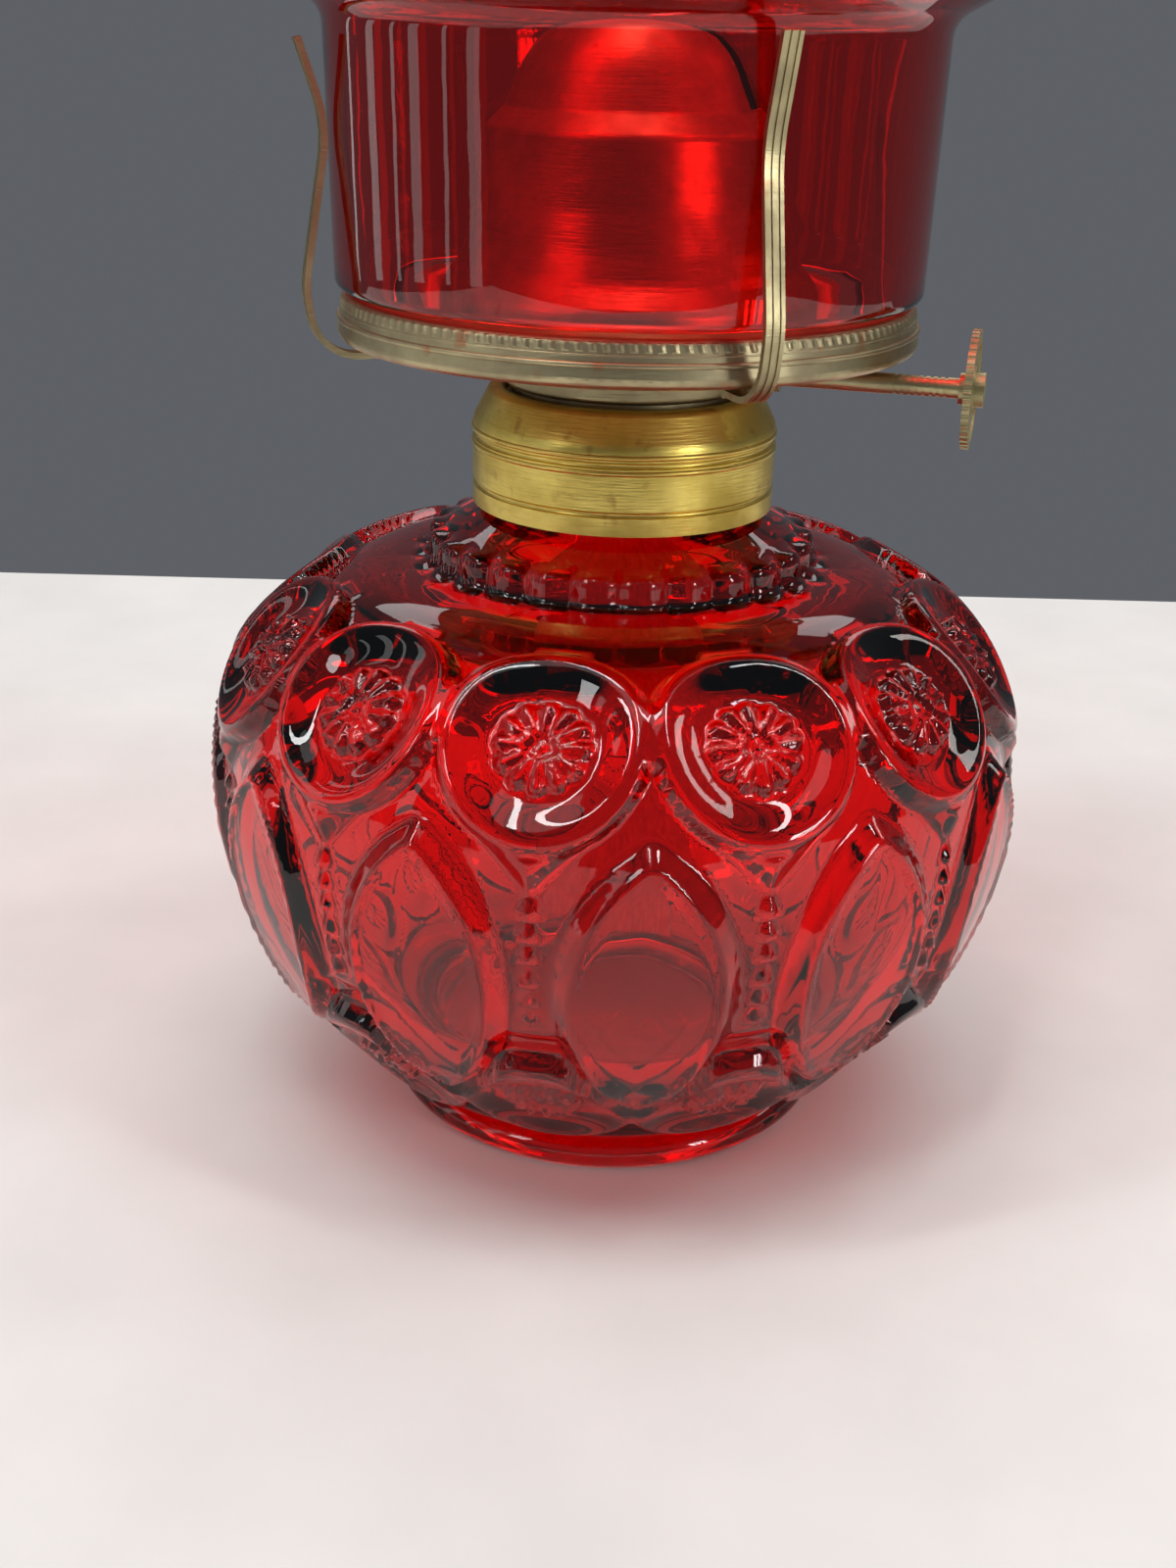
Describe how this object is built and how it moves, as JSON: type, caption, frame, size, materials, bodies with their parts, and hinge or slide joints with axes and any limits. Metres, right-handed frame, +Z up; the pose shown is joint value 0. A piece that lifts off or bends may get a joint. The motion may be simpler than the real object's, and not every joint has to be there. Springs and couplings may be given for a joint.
{
  "type": "oil lamp",
  "caption": "Ruby pressed-glass table oil lamp: patterned font, brass collar, flat-wick burner with thumbwheel raiser, spring-prong gallery and removable glass shade.",
  "frame": {"origin": "centre of the foot ring on the surface it stands on", "axes": "+Z up along the lamp's axis; +X along the wick raiser's shaft, towards the thumbwheel"},
  "size_m": [0.1174, 0.1174, 0.288],
  "materials": {
    "ruby_glass": "fire-polished pressed ruby glass",
    "collar_brass": "satin, lightly tarnished",
    "burner_brass": "aged, dull olive patina with coppery edges",
    "shaft_brass": "aged",
    "plaster": "matt plaster of Paris",
    "cotton": "woven flat cotton wick"
  },
  "bodies": {
    "font": {"font": "ruby_glass", "collar": "collar_brass", "collar_cement": "plaster"},
    "burner": {"burner_cup": "burner_brass", "wick_tube": "burner_brass", "raiser_box": "burner_brass", "shaft_sleeve": "burner_brass", "vent_tube": "burner_brass", "air_screen": "burner_brass", "gallery": "burner_brass", "deflector": "burner_brass"},
    "raiser": {"raiser_shaft": "shaft_brass", "thumbwheel": "shaft_brass", "sprocket_1": "shaft_brass", "sprocket_2": "shaft_brass", "sprocket_3": "shaft_brass", "sprocket_4": "shaft_brass"},
    "wick": {"wick": "cotton"},
    "shade": {"shade": "ruby_glass"},
    "prong_1": {"prong_1": "burner_brass"},
    "prong_2": {"prong_2": "burner_brass"},
    "prong_3": {"prong_3": "burner_brass"},
    "prong_4": {"prong_4": "burner_brass"}
  },
  "joints": [
    {"name": "burner_lift", "type": "slide", "parent": "font", "child": "burner", "axis": [0, 0, 1], "range_m": [0, 0.09]},
    {"name": "shade_lift", "type": "slide", "parent": "burner", "child": "shade", "axis": [0, 0, 1], "range_m": [0, 0.045]},
    {"name": "raiser_turn", "type": "hinge", "parent": "burner", "child": "raiser", "pos_m": [0.03, -0.0053, 0.1087], "axis": [1, 0, 0], "range_deg": [-144, 87]},
    {"name": "wick_travel", "type": "slide", "parent": "burner", "child": "wick", "axis": [0, 0, 1], "range_m": [-0.01, 0.006]},
    {"name": "prong_1_flex", "type": "hinge", "parent": "burner", "child": "prong_1", "pos_m": [0.026, 0.02032, 0.1101], "axis": [-0.6157, 0.788, 0], "range_deg": [0, 6], "stiffness_Nm_per_rad": 0.8},
    {"name": "prong_2_flex", "type": "hinge", "parent": "burner", "child": "prong_2", "pos_m": [-0.02032, 0.026, 0.1101], "axis": [-0.788, -0.6157, 0], "range_deg": [0, 6], "stiffness_Nm_per_rad": 0.8},
    {"name": "prong_3_flex", "type": "hinge", "parent": "burner", "child": "prong_3", "pos_m": [-0.02768, -0.01797, 0.1101], "axis": [0.5446, -0.8387, 0], "range_deg": [0, 6], "stiffness_Nm_per_rad": 0.8},
    {"name": "prong_4_flex", "type": "hinge", "parent": "burner", "child": "prong_4", "pos_m": [0.01977, -0.02642, 0.1101], "axis": [0.8007, 0.599, 0], "range_deg": [0, 6], "stiffness_Nm_per_rad": 0.8}
  ],
  "couplings": [
    {"joint": "raiser_turn", "follows": "wick_travel", "rad_per_m": 250}
  ]
}
